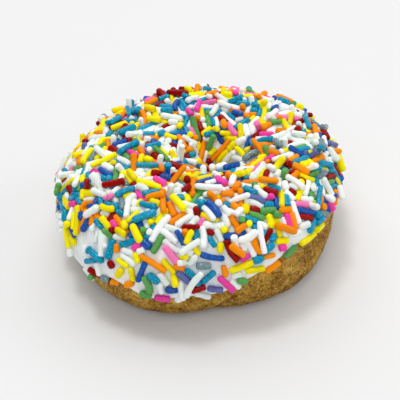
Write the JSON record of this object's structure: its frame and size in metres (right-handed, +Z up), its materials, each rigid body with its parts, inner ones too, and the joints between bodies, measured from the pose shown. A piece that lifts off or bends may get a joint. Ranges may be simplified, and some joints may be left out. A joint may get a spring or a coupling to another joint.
{
  "type": "sprinkle frosted doughnut",
  "caption": "Round cake doughnut with a small off-centre hole, browned sides and white icing over the top that holds coloured sugar sprinkles.",
  "frame": {"origin": "middle of the underside, on the surface that the doughnut rests on", "axes": "+Z up through the hole, -Y towards the side with the dent, +X towards the side that the hole is nearer to"},
  "size_m": [0.084, 0.088, 0.0316],
  "materials": {
    "cake_crust": "matte, crumbly fried crust",
    "white_icing": "satin, soft sugar icing"
  },
  "bodies": {
    "root": {"cake_ring": "cake_crust", "icing": "white_icing"}
  },
  "joints": []
}
